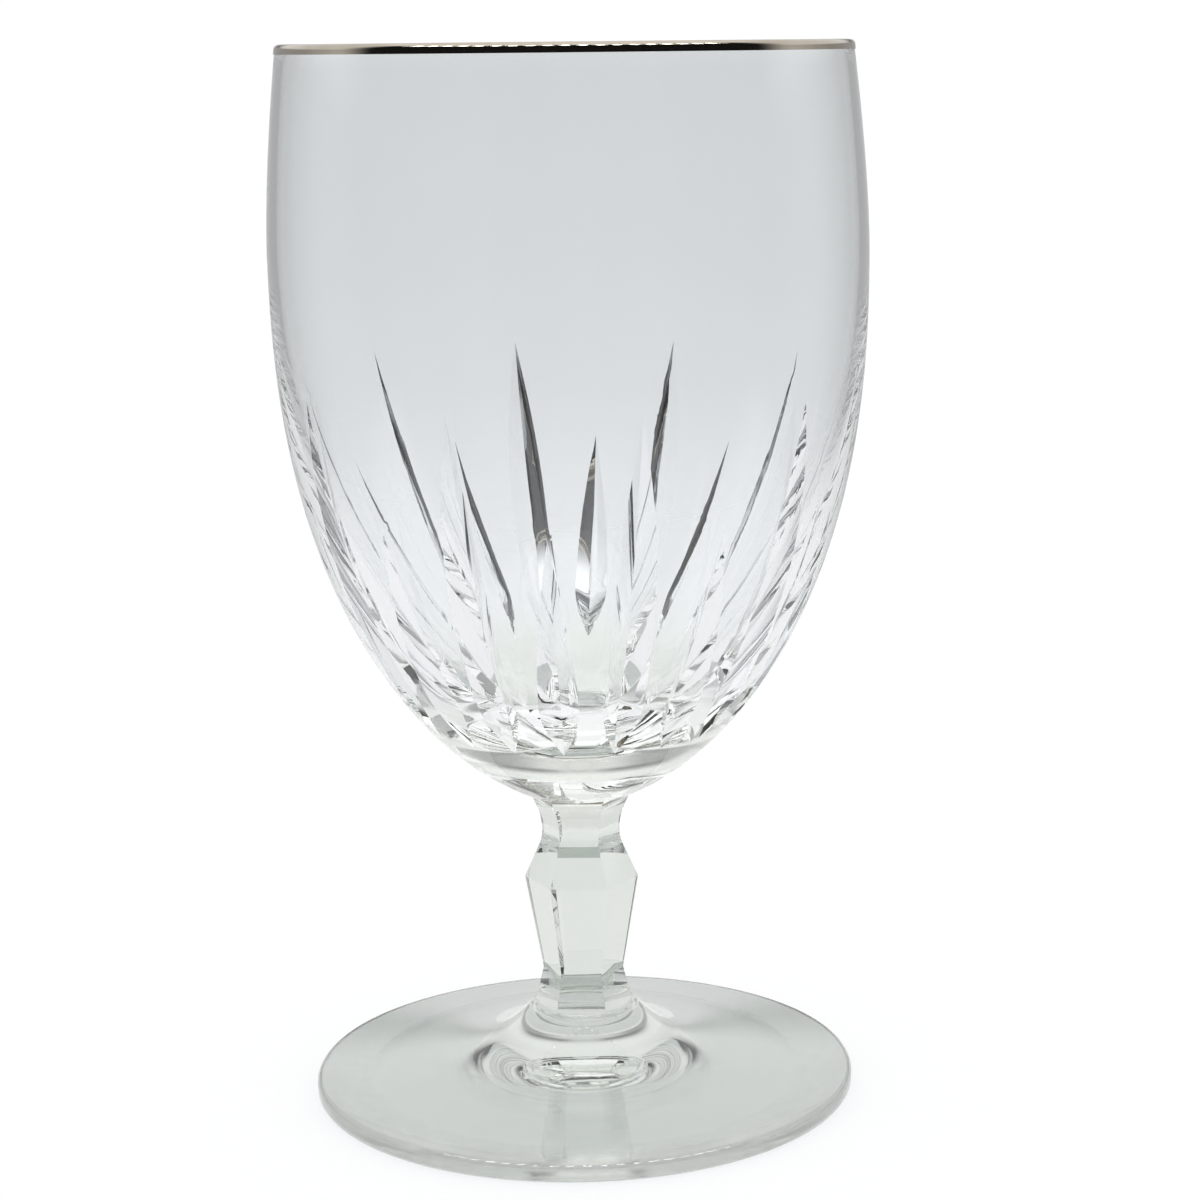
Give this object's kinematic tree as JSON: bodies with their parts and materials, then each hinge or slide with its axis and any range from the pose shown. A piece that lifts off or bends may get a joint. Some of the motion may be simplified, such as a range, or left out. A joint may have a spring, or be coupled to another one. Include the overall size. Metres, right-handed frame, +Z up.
{
  "type": "footed iced tea glass",
  "caption": "Footed iced tea goblet in clear cut glass: tall bowl with pointed mitre cuts, metal-banded rim, faceted stem with a knop, round foot.",
  "frame": {"origin": "on the axis of the glass, on the surface that the foot stands on", "axes": "+Z up along the axis of the glass, -Y towards the side that the picture shows, about 4 degrees from a flat of the stem"},
  "size_m": [0.0912, 0.0912, 0.165],
  "materials": {
    "crystal": "clear polished cut crystal",
    "platinum": "fired metal band, polished"
  },
  "bodies": {
    "root": {"bowl": "crystal", "stem": "crystal", "foot": "crystal", "rim_band": "platinum"}
  },
  "joints": []
}
